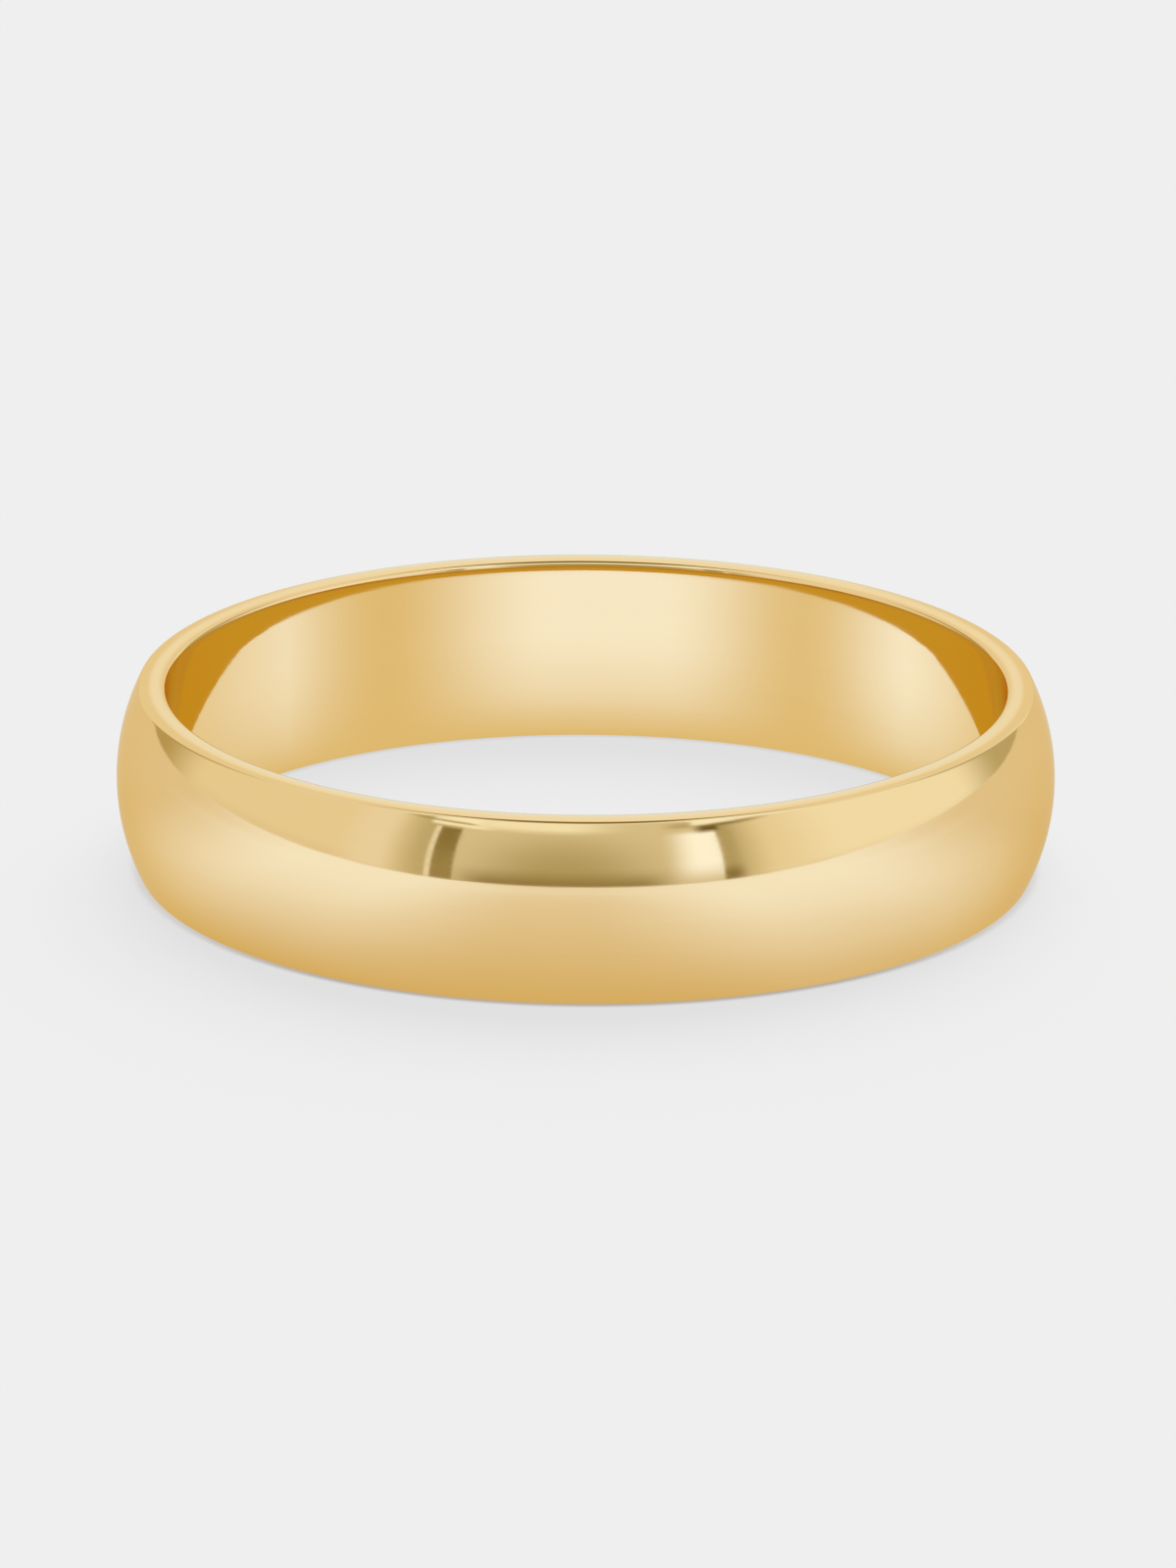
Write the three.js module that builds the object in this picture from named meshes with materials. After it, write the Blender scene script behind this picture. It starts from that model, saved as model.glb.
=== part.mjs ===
import * as THREE from 'three';

// A plain wedding band: one seamless ring of polished yellow gold, domed outside, with a straight
// bore whose edges are eased. It lies on one flat side, so the finger axis is upright.
// Millimetres, +Z up, origin on the finger axis in the plane of the lower flat side.

// Driving dimensions
const boreDiameter = 17.94; // finger size, across the straight middle of the bore
const crownThickness = 1.08; // wall at the top of the dome
const bandWidth = 4; // along the finger axis, from flat side to flat side
const domeRise = 0.48; // how far the crown stands above the outer edges
const outerCornerRadius = 0.08; // broken corner between the dome and a flat side

// The bore opens towards each flat side in three arcs that run into each other. Each one starts
// where the last one ended and leans the wall outwards to the given angle.
const boreEasing = [
  { radius: 14, leanDegrees: 2.4, steps: 2 }, // comfort easing, hardly visible
  { radius: 1, leanDegrees: 10, steps: 2 }, // softened edge
  { radius: 0.08, leanDegrees: 90, steps: 3 }, // broken corner, ending in the flat side
];

// Facets
const turnSegments = 96; // around the finger axis
const domeSteps = 12;
const outerCornerSteps = 2;

// Worked out from the dimensions
const halfWidth = bandWidth / 2;
const boreRadius = boreDiameter / 2;
const crownRadius = boreRadius + crownThickness;

// Points along an arc of the section, where x is the distance from the finger axis and y is the
// height above the band's middle. Angle 0 points away from the finger axis, PI / 2 upwards.
function arcPoints(centre, radius, startAngle, endAngle, steps) {
  return Array.from({ length: steps + 1 }, (_, step) => {
    const angle = THREE.MathUtils.lerp(startAngle, endAngle, step / steps);
    return new THREE.Vector2(
      centre.x + radius * Math.cos(angle),
      centre.y + radius * Math.sin(angle),
    );
  });
}

// Outside of the section: the dome is one arc, and a small corner arc turns it into each side.
function outsideOutline() {
  const domeRadius = (halfWidth ** 2 + domeRise ** 2) / (2 * domeRise);
  const domeCentre = new THREE.Vector2(crownRadius - domeRadius, 0);
  const cornerHeight = halfWidth - outerCornerRadius;
  const cornerDistance = domeRadius - outerCornerRadius;
  const domeEndAngle = Math.asin(cornerHeight / cornerDistance);
  const cornerPlace = domeCentre.x + cornerDistance * Math.cos(domeEndAngle);
  const lowerCorner = new THREE.Vector2(cornerPlace, -cornerHeight);
  const upperCorner = new THREE.Vector2(cornerPlace, cornerHeight);
  const dome = arcPoints(domeCentre, domeRadius, -domeEndAngle, domeEndAngle, domeSteps);
  return [
    ...arcPoints(lowerCorner, outerCornerRadius, -Math.PI / 2, -domeEndAngle, outerCornerSteps),
    ...dome.slice(1, -1),
    ...arcPoints(upperCorner, outerCornerRadius, domeEndAngle, Math.PI / 2, outerCornerSteps),
  ];
}

// Upper part of the bore, from the end of its straight middle up to the flat side.
function upperBoreOutline() {
  const points = [new THREE.Vector2(boreRadius, 0)];
  let lean = 0;
  for (const { radius, leanDegrees, steps } of boreEasing) {
    const nextLean = THREE.MathUtils.degToRad(leanDegrees);
    const start = points.at(-1);
    const centre = new THREE.Vector2(
      start.x + radius * Math.cos(lean),
      start.y - radius * Math.sin(lean),
    );
    const arc = arcPoints(centre, radius, Math.PI - lean, Math.PI - nextLean, steps);
    points.push(...arc.slice(1));
    lean = nextLean;
  }
  const rise = halfWidth - points.at(-1).y;
  return points.map((point) => new THREE.Vector2(point.x, point.y + rise));
}

// The whole closed section, raised so that the lower flat side is at height 0.
function bandSection() {
  const upperBore = upperBoreOutline();
  const lowerBore = upperBore.map((point) => new THREE.Vector2(point.x, -point.y));
  const outline = [...outsideOutline(), ...upperBore.reverse(), ...lowerBore];
  outline.push(outline[0].clone());
  return outline.map((point) => new THREE.Vector2(point.x, point.y + halfWidth));
}

// The ring: the section turned once around the finger axis.
function makeRingBand() {
  const geometry = new THREE.LatheGeometry(bandSection(), turnSegments);
  geometry.rotateX(Math.PI / 2);
  const yellowGold = new THREE.MeshStandardMaterial({
    color: 0xe2bb74,
    metalness: 1,
    roughness: 0.12,
  });
  const ringBand = new THREE.Mesh(geometry, yellowGold);
  ringBand.name = 'ring_band';
  return ringBand;
}

const weddingBand = new THREE.Group();
weddingBand.add(makeRingBand());

export default weddingBand;
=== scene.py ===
"""Looks of the wedding band: one turned ring of polished yellow gold on a pale floor, in a soft
photographic studio. Lengths are millimetres until they go into a mesh, and angles are degrees.
"""

import math
from collections import namedtuple

import bpy
from mathutils import Matrix, Vector


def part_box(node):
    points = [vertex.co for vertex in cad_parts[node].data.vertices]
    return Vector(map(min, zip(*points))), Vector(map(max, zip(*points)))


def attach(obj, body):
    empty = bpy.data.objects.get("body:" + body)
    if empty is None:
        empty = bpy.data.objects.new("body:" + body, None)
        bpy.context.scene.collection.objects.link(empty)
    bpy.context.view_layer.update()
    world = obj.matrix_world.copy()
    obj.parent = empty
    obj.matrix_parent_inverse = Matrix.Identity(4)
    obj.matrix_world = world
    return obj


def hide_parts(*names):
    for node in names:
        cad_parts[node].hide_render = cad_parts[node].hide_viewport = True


MM = 0.001  # metres in a millimetre

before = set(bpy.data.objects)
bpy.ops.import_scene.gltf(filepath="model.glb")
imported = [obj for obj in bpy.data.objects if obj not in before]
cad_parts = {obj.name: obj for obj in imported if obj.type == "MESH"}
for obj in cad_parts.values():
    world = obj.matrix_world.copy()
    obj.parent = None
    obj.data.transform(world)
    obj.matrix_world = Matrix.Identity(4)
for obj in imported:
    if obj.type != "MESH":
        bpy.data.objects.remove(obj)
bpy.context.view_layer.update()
band_low, band_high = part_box("ring_band")

# --- The band, with the same dimensions as the CAD part ---------------------------------------

BAND_WIDTH = (band_high.z - band_low.z) / MM
CROWN_RADIUS = band_high.x / MM
WALL_THICKNESS = 1.08  # at the crown
DOME_RISE = 0.48
OUTER_CORNER_RADIUS = 0.08
# The bore opens towards each side in three arcs: radius, and the lean where the arc ends.
BORE_EASING = [(14, 2.4), (1, 10), (0.08, 90)]
# Polishing rolls the narrow flat sides over a little. It only shows in how they mirror.
SIDE_ROLL = 8

TURN_STEPS = 800
DOME_STEPS = 20  # from the crown to the corner
OUTER_CORNER_STEPS = 7
SIDE_STEPS = 8
EASING_STEPS = [4, 4, 9]
BORE_RADIUS = CROWN_RADIUS - WALL_THICKNESS

# A point of the section: distance from the finger axis, height above the band's middle, and the
# direction of the surface normal there, 0 away from the axis and 90 upwards.
SectionPoint = namedtuple("SectionPoint", "distance height normal")


def arc_points(centre, radius, start, end, steps, last_normal=None):
    """From one normal direction to another. The last normal can be leant away from the arc's."""
    if last_normal is None:
        last_normal = end
    points = []
    for step in range(steps + 1):
        share = step / steps
        angle = math.radians(start + (end - start) * share)
        distance = centre[0] + radius * math.cos(angle)
        height = centre[1] + radius * math.sin(angle)
        points.append(SectionPoint(distance, height, start + (last_normal - start) * share))
    return points


def upper_outside():
    """From the crown over the dome to the outer edge of the upper flat side."""
    half = BAND_WIDTH / 2
    dome_radius = (half**2 + DOME_RISE**2) / (2 * DOME_RISE)
    dome_centre = (CROWN_RADIUS - dome_radius, 0)
    corner_height = half - OUTER_CORNER_RADIUS
    reach = dome_radius - OUTER_CORNER_RADIUS
    dome_end = math.degrees(math.asin(corner_height / reach))
    place = dome_centre[0] + reach * math.cos(math.radians(dome_end))
    centre = (place, corner_height)
    dome = arc_points(dome_centre, dome_radius, 0, dome_end, DOME_STEPS)
    corner = arc_points(
        centre, OUTER_CORNER_RADIUS, dome_end, 90, OUTER_CORNER_STEPS, 90 - SIDE_ROLL
    )
    return dome + corner[1:]


def upper_bore():
    """From the inner edge of the upper flat side down to the middle of the bore."""
    middle = SectionPoint(BORE_RADIUS, 0, 180)
    points = [middle]
    lean = 0
    for (radius, next_lean), steps in zip(BORE_EASING, EASING_STEPS):
        start = points[-1]
        angle = math.radians(lean)
        centre = (
            start.distance + radius * math.cos(angle),
            start.height - radius * math.sin(angle),
        )
        end = 180 - next_lean
        last_normal = max(end, 90 + SIDE_ROLL)
        points += arc_points(centre, radius, 180 - lean, end, steps, last_normal)[1:]
        lean = next_lean
    rise = BAND_WIDTH / 2 - points[-1].height
    raised = [SectionPoint(p.distance, p.height + rise, p.normal) for p in points]
    return raised[::-1] + [middle]


def upper_side(outer, inner):
    """The flat side between its two edges."""
    points = []
    for step in range(1, SIDE_STEPS):
        share = step / SIDE_STEPS
        distance = outer.distance + (inner.distance - outer.distance) * share
        normal = outer.normal + (inner.normal - outer.normal) * share
        points.append(SectionPoint(distance, outer.height, normal))
    return points


def band_section():
    """The closed section, from the crown over the upper side and back under the lower side."""
    outside = upper_outside()
    bore = upper_bore()
    upper = outside + upper_side(outside[-1], bore[0]) + bore
    lower = [SectionPoint(p.distance, -p.height, -p.normal) for p in upper[-2:0:-1]]
    return upper + lower


def make_band():
    """The section turned once round the finger axis, with the true normal at every point.
    The UV map holds the share of a turn, and the way along the section in millimetres."""
    section = band_section()
    count = len(section)
    way = [0.0]
    for i in range(count):
        here = section[i]
        there = section[(i + 1) % count]
        step = math.hypot(there.distance - here.distance, there.height - here.height)
        way.append(way[-1] + step)
    vertices = []
    normals = []
    for turn in range(TURN_STEPS):
        angle = 2 * math.pi * turn / TURN_STEPS
        across = Vector((math.sin(angle), math.cos(angle), 0))
        for point in section:
            height = (point.height + BAND_WIDTH / 2) * MM
            vertices.append(across * point.distance * MM + Vector((0, 0, height)))
            lean = math.radians(point.normal)
            normals.append(across * math.cos(lean) + Vector((0, 0, math.sin(lean))))
    faces = []
    uvs = []
    for turn in range(TURN_STEPS):
        here = turn * count
        there = (turn + 1) % TURN_STEPS * count
        left = turn / TURN_STEPS
        right = (turn + 1) / TURN_STEPS
        for i in range(count):
            j = (i + 1) % count
            faces.append((here + i, here + j, there + j, there + i))
            uvs += [(left, way[i]), (left, way[i + 1]), (right, way[i + 1]), (right, way[i])]
    mesh = bpy.data.meshes.new("gold_band")
    mesh.from_pydata(vertices, [], faces)
    layer = mesh.uv_layers.new(name="turning")
    for loop, uv in zip(layer.data, uvs):
        loop.uv = uv
    mesh.shade_smooth()
    mesh.normals_split_custom_set_from_vertices(normals)
    band = bpy.data.objects.new("gold_band", mesh)
    bpy.context.scene.collection.objects.link(band)
    return band


# --- Node graphs ------------------------------------------------------------------------------


class Graph:
    """Adds shader nodes by short calls. A value is a number, a colour or a node's output."""

    def __init__(self, tree):
        self.tree = tree
        tree.nodes.clear()

    def add(self, kind, settings=(), **inputs):
        """A new node. Its settings and inputs are set by name, with _ for a space."""
        node = self.tree.nodes.new(kind)
        for name, value in dict(settings).items():
            setattr(node, name, value)
        for name, value in inputs.items():
            self.put(value, node.inputs[name.replace("_", " ")])
        return node

    def node(self, kind, output=0, settings=(), **inputs):
        """The output of a new node."""
        return self.add(kind, settings, **inputs).outputs[output]

    def put(self, value, socket):
        if isinstance(value, bpy.types.NodeSocket):
            self.tree.links.new(value, socket)
        elif socket.type == "RGBA":
            socket.default_value = (*value, 1)
        else:
            socket.default_value = value

    def math(self, operation, *values, clamp=False):
        """One step of arithmetic."""
        node = self.tree.nodes.new("ShaderNodeMath")
        node.operation = operation
        node.use_clamp = clamp
        for value, socket in zip(values, node.inputs):
            self.put(value, socket)
        return node.outputs[0]

    def rise(self, value, start, end, low=0.0, high=1.0):
        """Smoothly from low at start to high at end."""
        node = self.tree.nodes.new("ShaderNodeMapRange")
        node.interpolation_type = "SMOOTHSTEP"
        for value, socket in zip((value, start, end, low, high), node.inputs):
            self.put(value, socket)
        return node.outputs[0]

    def mix(self, factor, low, high):
        node = self.tree.nodes.new("ShaderNodeMix")
        self.put(factor, node.inputs[0])
        self.put(low, node.inputs[2])
        self.put(high, node.inputs[3])
        return node.outputs[0]

    def mix_colour(self, factor, low, high):
        node = self.tree.nodes.new("ShaderNodeMix")
        node.data_type = "RGBA"
        self.put(factor, node.inputs[0])
        self.put(low, node.inputs[6])
        self.put(high, node.inputs[7])
        return node.outputs[2]

    def mix_shader(self, factor, first, second):
        node = self.tree.nodes.new("ShaderNodeMixShader")
        self.put(factor, node.inputs[0])
        self.put(first, node.inputs[1])
        self.put(second, node.inputs[2])
        return node.outputs[0]

    def add_shader(self, first, second):
        node = self.tree.nodes.new("ShaderNodeAddShader")
        self.put(first, node.inputs[0])
        self.put(second, node.inputs[1])
        return node.outputs[0]

    def product(self, *values):
        result = values[0]
        for value in values[1:]:
            result = self.math("MULTIPLY", result, value)
        return result

    def distance(self, value, other):
        """How far apart two numbers are."""
        return self.math("ABSOLUTE", self.math("SUBTRACT", value, other))

    def angle(self, direction, other):
        """Degrees between two unit vectors."""
        node = self.tree.nodes.new("ShaderNodeVectorMath")
        node.operation = "DOT_PRODUCT"
        self.put(direction, node.inputs[0])
        self.put(other, node.inputs[1])
        return self.math("DEGREES", self.math("ARCCOSINE", node.outputs["Value"]))

    def xyz(self, vector):
        node = self.tree.nodes.new("ShaderNodeSeparateXYZ")
        self.put(vector, node.inputs[0])
        return tuple(node.outputs)

    def azimuth(self, x, y):
        """0 towards the camera's side, 90 to its right, 180 behind the ring."""
        turn = self.math("ARCTAN2", x, self.math("MULTIPLY", y, -1))
        return self.math("DEGREES", turn)


# --- Polished gold ----------------------------------------------------------------------------

GOLD = (0.98, 0.80, 0.47)
GOLD_PALE = (1.0, 0.83, 0.51)
GOLD_EDGE_TINT = (0.99, 0.90, 0.66)  # keeps the metal yellow where it is seen at a low angle
POLISH_ROUGHNESS = 0.05
POLISH_SPREAD = 0.012  # how much the polishing lines, and the cloudiness, change it
WORN_ROUGHNESS = 0.03  # added at the rims
WORN_WIDTH = 0.12 * MM
CLOUD_SCALE = 260.0  # per metre
LINE_BUMP = 0.02
LINE_DEPTH = 0.01 * MM
PALE_SHARE = 0.25  # of the paler gold, where it is most


def make_gold():
    material = bpy.data.materials.new("polished_yellow_gold")
    material.use_nodes = True
    g = Graph(material.node_tree)
    x, y, z = g.xyz(g.node("ShaderNodeTexCoord", "Object"))
    way = g.xyz(g.node("ShaderNodeUVMap", settings={"uv_map": "turning"}))[1]

    # Polishing lines run round the ring: fine across the section, long along the turn.
    def lines(fineness, length):
        """Lines per millimetre across the section, and their length in millimetres."""
        along = 1 / (length * MM)
        place = g.node(
            "ShaderNodeCombineXYZ",
            X=g.math("MULTIPLY", way, fineness),
            Y=g.math("MULTIPLY", x, along),
            Z=g.math("MULTIPLY", y, along),
        )
        return g.node("ShaderNodeTexNoise", Vector=place, Scale=1.0, Detail=2.0)

    fine = lines(9, 3)
    broad = lines(1.5, 9)
    cloud = g.node(
        "ShaderNodeTexNoise",
        Vector=g.node("ShaderNodeTexCoord", "Object"),
        Scale=CLOUD_SCALE,
        Detail=2.0,
    )

    # The two rims of the band are rubbed by the neighbouring fingers and rings.
    middle = BAND_WIDTH / 2 * MM
    worn = g.rise(g.distance(z, middle), middle - WORN_WIDTH, middle)

    smoothest = POLISH_ROUGHNESS - POLISH_SPREAD
    roughest = POLISH_ROUGHNESS + POLISH_SPREAD
    roughness = g.rise(fine, 0.3, 0.7, smoothest, roughest)
    roughness = g.math("ADD", roughness, g.rise(cloud, 0.45, 0.7, 0, POLISH_SPREAD))
    roughness = g.math("ADD", roughness, g.math("MULTIPLY", worn, WORN_ROUGHNESS))
    tone = g.math("MULTIPLY", g.math("ADD", fine, broad), 0.5)
    colour = g.mix_colour(g.rise(tone, 0.35, 0.65, 0, PALE_SHARE), GOLD, GOLD_PALE)
    bump = g.node("ShaderNodeBump", Strength=LINE_BUMP, Distance=LINE_DEPTH, Height=fine)
    shader = g.node(
        "ShaderNodeBsdfPrincipled",
        Base_Color=colour,
        Metallic=1.0,
        Roughness=roughness,
        Specular_Tint=GOLD_EDGE_TINT,
        Normal=bump,
    )
    g.add("ShaderNodeOutputMaterial", Surface=shader)
    return material


# --- Studio -----------------------------------------------------------------------------------

# The metal mirrors the studio, so the studio is what gives it its lights and darks. Directions
# are an azimuth, 0 towards the camera's side, 90 to its right and 180 behind the ring, and an
# elevation. Each entry covers what comes before it.
# A panel is a card between two azimuths and two elevations, with the width of the fade at its
# left, right, lower and upper edge. A pool is a round soft patch: it is whole inside the first
# angle from its centre and gone at the second.
Panel = namedtuple("Panel", "azimuth elevation fades colour")
Pool = namedtuple("Pool", "azimuth elevation inner outer colour")


def card(level):
    """The colour of a card that looks this light. The darker it is, the warmer."""
    return (level, 0.97 * level**1.18, level**1.95)


LEFT_WALL = (0.81, 0.72, 0.55)
RIGHT_WALL = (0.90, 0.86, 0.76)
STUDIO = [
    # Walls of the tent. The first colour is the left wall.
    Panel((56, 180), (-90, 90), (24, 1, 1, 1), RIGHT_WALL),
    Panel((-112, -50), (-90, 5), (10, 10, 1, 6), (0.77, 0.67, 0.50)),
    Panel((48, 112), (-90, 3.5), (20, 10, 1, 5), (0.83, 0.77, 0.67)),
    Panel((-60, -48), (-90, 40), (10, 6, 1, 10), (0.83, 0.76, 0.66)),
    Panel((115, 142), (-90, 50), (20, 8, 1, 20), card(0.50)),
    Panel((-142, -120), (-90, 50), (6, 22, 1, 20), (0.48, 0.37, 0.17)),
    Panel((150, 210), (-90, 50), (16, 16, 1, 16), (0.81, 0.73, 0.60)),
    # Narrow light card behind the ring, white at its foot.
    Panel((177.5, 182.5), (-90, 40), (3, 3, 1, 10), (0.90, 0.85, 0.82)),
    Panel((177.5, 182.5), (-90, 14), (3, 3, 1, 18), (0.83, 0.93, 1.22)),
    # Roof, the overhead lamp on the camera's side, and a dark gap from there to behind the ring.
    Panel((-180, 180), (45, 90), (1, 1, 16, 1), (0.80, 0.74, 0.62)),
    Pool(0, 62, 12, 42, (0.97, 0.95, 0.90)),
    Pool(0, 76, 11, 20, card(0.20)),
    Pool(180, 84, 11, 20, card(0.20)),
    Pool(180, 66, 11, 20, card(0.20)),
    # Camera side: grey, then the dark strip on the left with a bright edge.
    Panel((-46, 42), (-90, 42), (12, 12, 1, 4), card(0.53)),
    Panel((-37.9, -31.8), (-90, 27.3), (0.8, 0.8, 1, 1.5), card(0.33)),
    Panel((-37.9, -31.8), (15, 27.3), (0.8, 0.8, 22, 1.5), card(0.25)),
    Panel((-39.2, -37.8), (-90, 27.5), (0.6, 0.6, 1, 1), card(0.82)),
    # The middle, darkest where the camera stands.
    Panel((-32.2, 33.9), (-90, 40), (0.8, 0.8, 1, 4), card(0.68)),
    Pool(-5, 6, 4, 32, card(0.46)),
    Panel((-29, 19), (-90, 5), (14, 14, 1, 12), card(0.27)),
    # Strip lamp on the right, and the dark gap beside it.
    Panel((23.6, 33.8), (5, 27.5), (9.5, 0.8, 13, 3), (1.02, 1.08, 1.25)),
    Panel((33.9, 37.8), (-90, 31), (0.8, 3.8, 1, 1), card(0.45)),
    Panel((33.9, 38.3), (-90, 6.4), (0.8, 4.5, 1, 8), card(0.24)),
    # Lights and darks over the camera side.
    Panel((-41, -26), (28.6, 50), (1.5, 8, 1, 3), (0.97, 0.96, 0.90)),
    Panel((-47, -29), (30.2, 31.1), (6, 5, 0.6, 0.6), card(0.36)),
    Panel((-27, 4), (30, 50), (7, 22, 4.5, 3), (0.92, 0.90, 0.82)),
    Panel((29.4, 35), (27, 30.6), (4, 1.5, 2.4, 0.8), card(0.16)),
    Panel((34.8, 46), (29.3, 30.7), (1.5, 14, 0.8, 0.8), card(0.22)),
    Panel((22, 29), (30.2, 33), (6, 3, 1.5, 1.5), card(0.50)),
    Panel((28.5, 64), (31.1, 50), (1.5, 24, 0.6, 4), (0.98, 0.99, 0.97)),
]


def ramp(g, value, edge, fade):
    """Rises through edge where fade is positive, and falls through it where it is negative."""
    half = abs(fade) / 2
    return g.rise(value, edge - half, edge + half, float(fade < 0), float(fade > 0))


def unit_vector(azimuth, elevation):
    """The direction towards a place in the studio."""
    a = math.radians(azimuth)
    e = math.radians(elevation)
    return Vector((math.sin(a) * math.cos(e), -math.cos(a) * math.cos(e), math.sin(e)))


def tent_colour(g, azimuth, elevation, direction):
    """The walls, roof, cards and lamps, in the given direction."""
    full_turn = g.math("FLOORED_MODULO", azimuth, 360)
    colour = LEFT_WALL
    for item in STUDIO:
        if isinstance(item, Panel):
            around = full_turn if item.azimuth[1] > 180 else azimuth
            left, right, lower, upper = item.fades
            share = g.product(
                ramp(g, around, item.azimuth[0], left),
                ramp(g, around, item.azimuth[1], -right),
                ramp(g, elevation, item.elevation[0], lower),
                ramp(g, elevation, item.elevation[1], -upper),
            )
        else:
            off = g.angle(direction, unit_vector(item.azimuth, item.elevation))
            share = g.rise(off, item.inner, item.outer, 1, 0)
        colour = g.mix_colour(share, colour, item.colour)
    return colour


FLOOR_LEVEL = 0.863  # the pale floor and the paper behind it, as the camera sees them
FLOOR_IN_METAL = (0.93, 0.95, 1.03)
# Painted shade and painted golden light on the floor that the gold mirrors.
FLOOR_GOLDEN_GLOW_AND_SHADE = (0.68, 0.51, 0.24)  # where the ring throws its golden light onto the floor
FLOOR_FAR = 60  # millimetres from the ring's middle
GLOW_RADIUS = 9.6  # millimetres from the middle to where the golden light is whole
GLOW_FALL = 3.5  # the power that it falls with
GLOW_AT_LAMP = 0.84  # what is left of it in front of the strip lamp
GLOW_AT_SIDES = 0.85
GLOW_BEHIND = 0.68


def either(g, *shares):
    """Joins soft masks: the share that is in any of them."""
    rest = 1
    for share in shares:
        rest = g.math("MULTIPLY", rest, g.math("SUBTRACT", 1, share))
    return g.math("SUBTRACT", 1, rest)


def floor_round_ring(g, azimuth, radius):
    """The floor outside the ring as the gold mirrors it: painted shade and painted golden light
    close to the ring, in front of it and behind it."""
    fall = g.math("POWER", g.math("DIVIDE", GLOW_RADIUS, radius), GLOW_FALL)
    close = g.product(
        g.math("MINIMUM", fall, 1),
        g.rise(g.distance(azimuth, 44), 8, 36, GLOW_AT_LAMP, 1),
        g.rise(g.distance(azimuth, 0), 42, 80, 1, GLOW_AT_SIDES),
    )
    strength = g.rise(radius, 16, FLOOR_FAR, 0.58, 0.35)
    # Painted shadow of the ring in front of it, warmed by its golden light.
    front = g.math("MULTIPLY", g.rise(g.distance(azimuth, -5), 4, 38, 1, 0), strength)
    start = g.rise(radius, 12, FLOOR_FAR, 57, 64)
    end = g.rise(radius, 12, FLOOR_FAR, 104, 113)
    behind = g.rise(g.distance(azimuth, -4), start, end, 0, GLOW_BEHIND)
    return g.mix_colour(either(g, close, front, behind), FLOOR_IN_METAL, FLOOR_GOLDEN_GLOW_AND_SHADE)


BORE_WHITE = (0.95, 0.99, 1.13)
# Painted golden light and shade on the floor inside the ring, as the bore mirrors it.
BORE_WARM = (0.745, 0.60, 0.33)
BORE_GLOW_REACH = 9.3  # how far the golden light reaches from the wall's foot
# Patches of that painted light and shade on the floor inside the ring: azimuth, how far they
# reach either way, share.
BORE_GOLDEN_LIGHT_PATCHES = [(-62, 42, 0.89), (58, 49, 0.97)]
# The same behind: the azimuths where they begin and where they are whole, share.
BORE_GOLDEN_LIGHT_BEHIND = [(-95, -145, 0.60), (60, 140, 0.62)]


def floor_in_bore(g, azimuth):
    """The floor inside the ring with its painted golden light and shade, by the direction that
    the wall mirrors it in.
    """
    warm = 0
    for centre, reach, share in BORE_GOLDEN_LIGHT_PATCHES:
        patch = g.rise(g.distance(azimuth, centre), 0, reach, share, 0)
        warm = g.math("MAXIMUM", warm, patch)
    for begin, whole, share in BORE_GOLDEN_LIGHT_BEHIND:
        warm = g.math("MAXIMUM", warm, g.rise(azimuth, begin, whole, 0, share))
    return g.mix_colour(warm, BORE_WHITE, BORE_WARM)


def glow_at_wall(g, length):
    """Share of the golden light at the wall's foot, by the way from the wall to the floor."""
    way = g.math("DIVIDE", length, BORE_GLOW_REACH * MM)
    return g.math("POWER", g.math("SUBTRACT", 1, way, clamp=True), 2)


# Light that has gone from wall to wall inside the bore before it comes out: twice, and oftener.
DEEP_TWICE = (0.58, 0.41, 0.065)
DEEP_OFTEN = (0.52, 0.55, 0.36)


def seen_in_metal(g, first):
    """The first colour for light that met the metal once, and a deep one after that."""
    depth = g.node("ShaderNodeLightPath", "Glossy Depth")
    deep = g.mix_colour(g.rise(depth, 2, 4), DEEP_TWICE, DEEP_OFTEN)
    return g.mix_colour(g.math("GREATER_THAN", depth, 1.5), first, deep)


# The floor runs on to the foot of the tent's walls, which stand closer at the sides.
HORIZON_FRONT = 0.3  # elevations of the walls' foot
HORIZON_SIDE = 3.6
HORIZON_BEHIND = 1.2
# Painted shade in the crease where the floor meets the tent's walls.
FOOT_SHADE_COLOUR = (0.55, 0.45, 0.25)
FOOT_SHADE_SHARE = 0.3


def horizon(g, azimuth):
    """Elevation of the walls' foot."""
    side = g.rise(g.distance(azimuth, -7), 22, 110, HORIZON_FRONT, HORIZON_SIDE)
    drop = g.rise(g.distance(azimuth, 0), 100, 145, 0, HORIZON_SIDE - HORIZON_BEHIND)
    return g.math("SUBTRACT", side, drop)


def shade_at_foot(g, azimuth, over_horizon):
    """Share of the painted shade at the walls' foot, which shows only on the camera's side."""
    most = g.rise(g.distance(azimuth, 0), 40, 70, FOOT_SHADE_SHARE, 0)
    return g.rise(over_horizon, 0.3, 1.2, most, 0)


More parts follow.
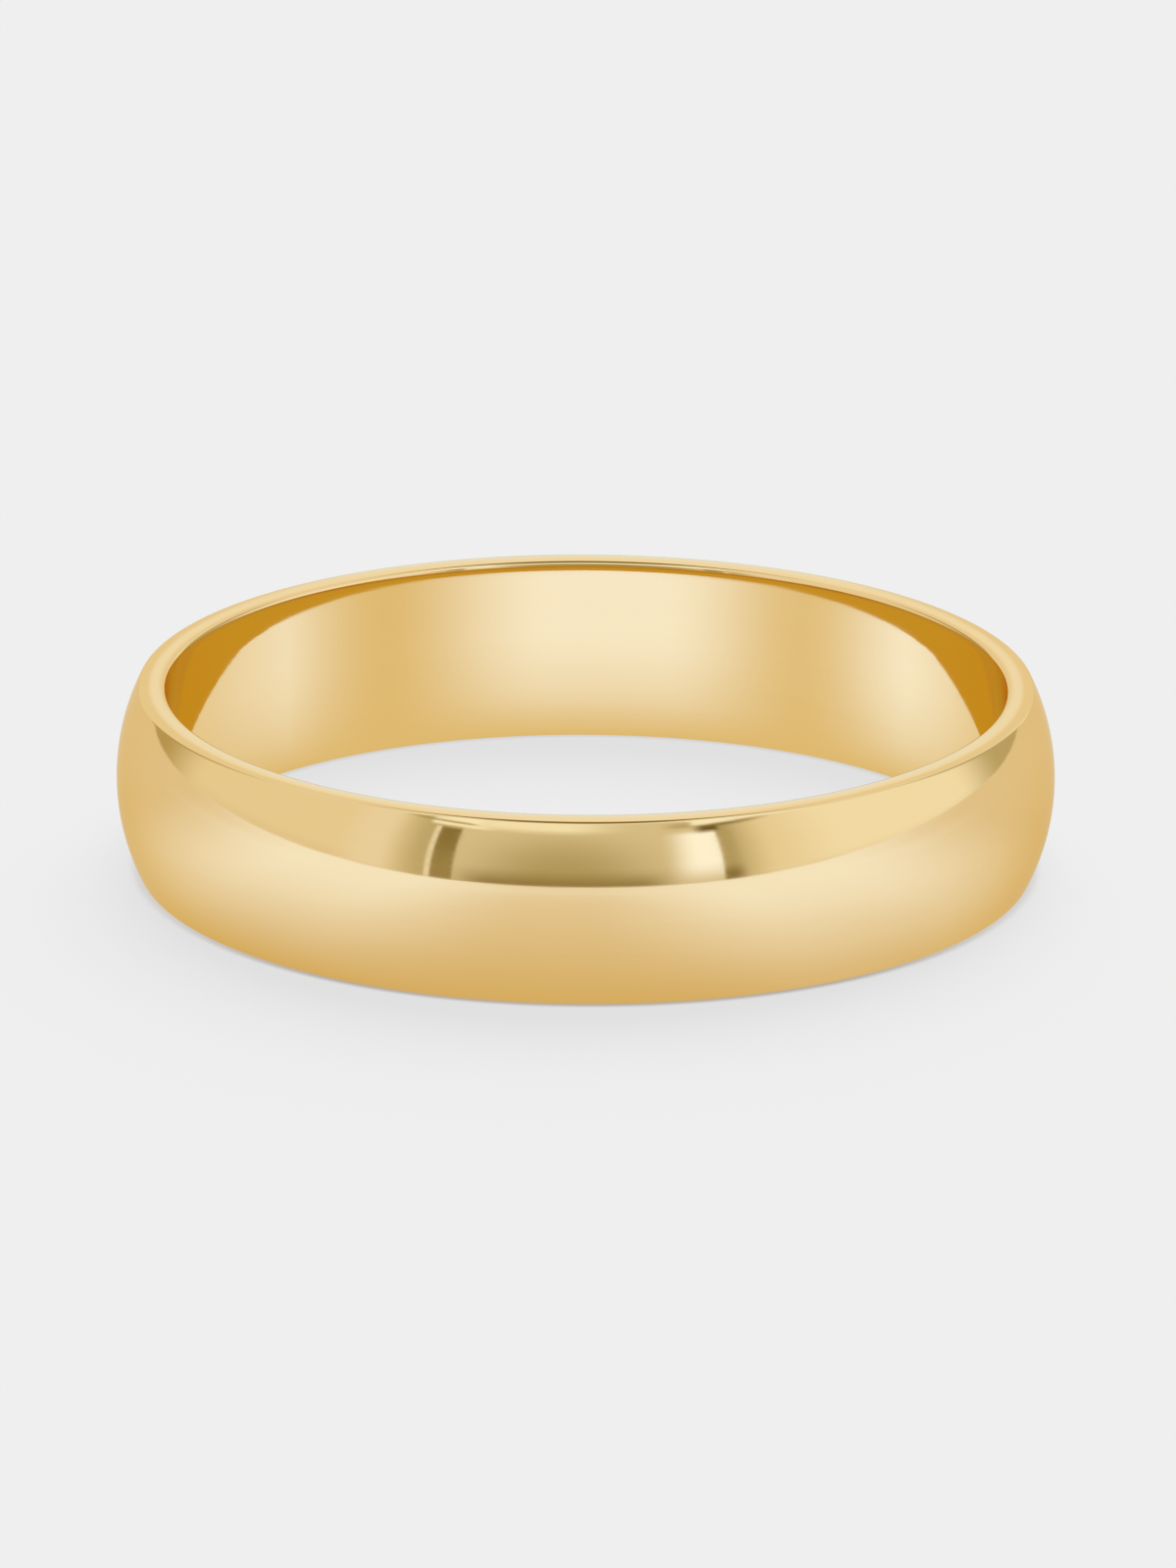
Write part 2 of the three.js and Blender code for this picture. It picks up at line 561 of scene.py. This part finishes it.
def make_world():
    """The studio for the metal, and plain paper for the camera."""
    world = bpy.data.worlds.new("studio")
    world.use_nodes = True
    bpy.context.scene.world = world
    world.cycles.sampling_method = "NONE"
    world.cycles_visibility.diffuse = False
    g = Graph(world.node_tree)
    direction = g.node("ShaderNodeTexCoord", "Generated")
    x, y, z = g.xyz(direction)
    azimuth = g.azimuth(x, y)
    elevation = g.math("DEGREES", g.math("ARCSINE", z))
    far_floor = floor_round_ring(g, azimuth, FLOOR_FAR)
    over_horizon = g.math("SUBTRACT", elevation, horizon(g, azimuth))
    tent = tent_colour(g, azimuth, elevation, direction)
    tent = g.mix_colour(shade_at_foot(g, azimuth, over_horizon), tent, FOOT_SHADE_COLOUR)
    above = g.mix_colour(g.rise(over_horizon, -0.3, 0.3), far_floor, tent)
    below = floor_in_bore(g, azimuth)
    studio = g.mix_colour(g.math("LESS_THAN", elevation, 0), above, below)
    paper = (FLOOR_LEVEL,) * 3
    is_camera = g.node("ShaderNodeLightPath", "Is Camera Ray")
    colour = g.mix_colour(is_camera, seen_in_metal(g, studio), paper)
    g.add("ShaderNodeOutputWorld", Surface=g.node("ShaderNodeBackground", Color=colour))


FLOOR_HALF_SIZE = 20  # metres, so that its edge is never seen
FLOOR_PAINT = 0.8
SUN_SHARE = 0.138  # how much of the floor's light the ring can shade
SUN_AZIMUTH = 170
SUN_ELEVATION = 51
SUN_WIDTH = 60
FOOT_INNER_RADIUS = BORE_RADIUS + 0.1  # the ring of floor that the band stands on
FOOT_OUTER_RADIUS = CROWN_RADIUS - DOME_RISE
CONTACT_REACH = 0.26  # millimetres
CONTACT_INSIDE = 0.6
CONTACT_AT_SIDES = 0.35
CONTACT_COLOUR = (0.28, 0.19, 0.10)
CONTACT_PAINT = 0.1


def floor_radius(g, x, y):
    """Millimetres from the finger axis."""
    squares = g.math("ADD", g.math("MULTIPLY", x, x), g.math("MULTIPLY", y, y))
    return g.math("DIVIDE", g.math("SQRT", squares), MM)


def contact_shadow(g, azimuth, radius):
    """The thin dark line where the band stands on the floor, inside and outside the ring."""
    inner = FOOT_INNER_RADIUS
    outer = FOOT_OUTER_RADIUS
    return g.product(
        g.rise(radius, inner - CONTACT_REACH, inner, 0, CONTACT_INSIDE),
        g.rise(radius, outer, outer + CONTACT_REACH, 1, 0),
        g.rise(g.distance(azimuth, 0), 30, 75, 1, CONTACT_AT_SIDES),
    )


def floor_in_metal(g, azimuth, radius):
    """What the gold mirrors of the floor. Inside the ring only the wall's glow is painted here,
    and the rest comes from the world."""
    outside = floor_round_ring(g, azimuth, radius)
    outside = g.node("ShaderNodeEmission", Color=seen_in_metal(g, outside))
    warm = g.node("ShaderNodeEmission", Color=seen_in_metal(g, BORE_WARM))
    glow = glow_at_wall(g, g.node("ShaderNodeLightPath", "Ray Length"))
    inside = g.mix_shader(glow, g.node("ShaderNodeBsdfTransparent"), warm)
    return g.mix_shader(g.math("GREATER_THAN", radius, FOOT_INNER_RADIUS), inside, outside)


def make_floor():
    """A wide pale floor. Part of its light is its own, so that the sun's shadow stays faint."""
    material = bpy.data.materials.new("pale_floor")
    material.use_nodes = True
    g = Graph(material.node_tree)
    x, y, z = g.xyz(g.node("ShaderNodeTexCoord", "Object"))
    azimuth = g.azimuth(x, y)
    radius = floor_radius(g, x, y)
    contact = contact_shadow(g, azimuth, radius)
    glow = g.mix_colour(contact, (FLOOR_LEVEL * (1 - SUN_SHARE),) * 3, CONTACT_COLOUR)
    paint = g.mix_colour(contact, (FLOOR_PAINT,) * 3, (CONTACT_PAINT,) * 3)
    plain = g.add_shader(
        g.node("ShaderNodeEmission", Color=glow),
        g.node("ShaderNodeBsdfDiffuse", Color=paint),
    )
    in_metal = g.node("ShaderNodeLightPath", "Is Glossy Ray")
    shader = g.mix_shader(in_metal, plain, floor_in_metal(g, azimuth, radius))
    g.add("ShaderNodeOutputMaterial", Surface=shader)
    material.cycles.emission_sampling = "NONE"
    half = FLOOR_HALF_SIZE
    mesh = bpy.data.meshes.new("floor")
    corners = [(-half, -half, 0), (half, -half, 0), (half, half, 0), (-half, half, 0)]
    mesh.from_pydata(corners, [], [(0, 1, 2, 3)])
    mesh.materials.append(material)
    floor = bpy.data.objects.new("floor", mesh)
    bpy.context.scene.collection.objects.link(floor)


def make_sun():
    """Soft light from behind the ring, so that its faint shadow falls towards the camera."""
    light = bpy.data.lights.new("soft_sun", "SUN")
    light.angle = math.radians(SUN_WIDTH)
    level = FLOOR_LEVEL * SUN_SHARE
    light.energy = level * math.pi / (FLOOR_PAINT * math.sin(math.radians(SUN_ELEVATION)))
    sun = bpy.data.objects.new("soft_sun", light)
    sun.rotation_euler = unit_vector(SUN_AZIMUTH, SUN_ELEVATION).to_track_quat("Z", "Y").to_euler()
    sun.visible_glossy = False
    bpy.context.scene.collection.objects.link(sun)


# --- Camera -----------------------------------------------------------------------------------

CAMERA_ELEVATION = 17.79
CAMERA_DISTANCE = 350.1
CAMERA_ROLL = 0.3
LENS = 375
SENSOR = 36
# Where the camera aims, from the middle of the ring: to its right and up.
AIM_RIGHT = 0.05
AIM_UP = -0.218


def make_camera():
    """A long lens from far away, rolled a little about the way it looks."""
    camera = bpy.data.cameras.new("camera")
    camera.lens = LENS
    camera.sensor_width = SENSOR
    camera.clip_start = 0.05
    camera.clip_end = 100
    ob = bpy.data.objects.new("camera", camera)
    back = unit_vector(0, CAMERA_ELEVATION)
    turn = back.to_track_quat("Z", "Y").to_matrix()
    middle = Vector((0, 0, BAND_WIDTH / 2))
    aim = middle + turn @ Vector((AIM_RIGHT, AIM_UP, 0))
    roll = Matrix.Rotation(math.radians(CAMERA_ROLL), 3, "Z")
    place = Matrix.Translation((aim + back * CAMERA_DISTANCE) * MM)
    ob.matrix_world = place @ (turn @ roll).to_4x4()
    bpy.context.scene.collection.objects.link(ob)
    bpy.context.scene.camera = ob


# --- Put together -----------------------------------------------------------------------------

LIGHT_BOUNCES = 24  # light that grazes the round bore wall bounces along it many times

band = make_band()
band.data.materials.append(make_gold())
band.visible_diffuse = False  # its golden glow is kept off the plain floor
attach(band, "root")
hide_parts("ring_band")
make_world()
make_floor()
make_sun()
make_camera()
bpy.context.scene.view_settings.view_transform = "Standard"
bpy.context.scene.cycles.max_bounces = LIGHT_BOUNCES
bpy.context.scene.cycles.glossy_bounces = LIGHT_BOUNCES
